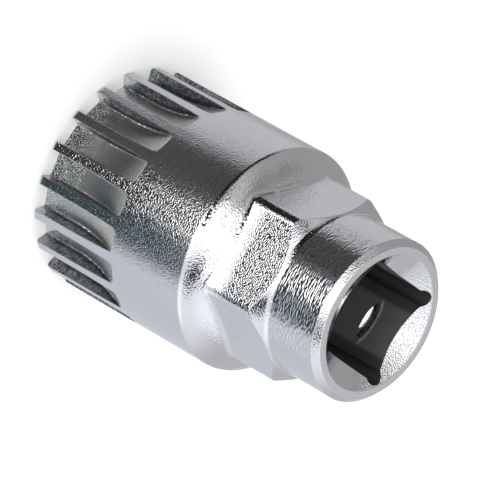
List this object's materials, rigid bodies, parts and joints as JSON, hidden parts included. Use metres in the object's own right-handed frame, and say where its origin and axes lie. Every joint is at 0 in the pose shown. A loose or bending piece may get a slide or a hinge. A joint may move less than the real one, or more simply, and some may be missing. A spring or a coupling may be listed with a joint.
{
  "type": "bottom bracket tool",
  "caption": "Splined socket for bottom bracket cartridges: a toothed barrel, a forged hexagon for a spanner, and a countersunk drive square in a turned collar.",
  "frame": {"origin": "middle of the flat face of the toothed end, which the tool stands on", "axes": "+Z along the tool's axis, from the toothed end to the drive square; a tooth and a corner of the hexagon lie on +X"},
  "size_m": [0.031, 0.031, 0.048],
  "materials": {
    "chromed_steel": "satin chrome over a blasted surface"
  },
  "bodies": {
    "root": {"tool_body": "chromed_steel"}
  },
  "joints": []
}
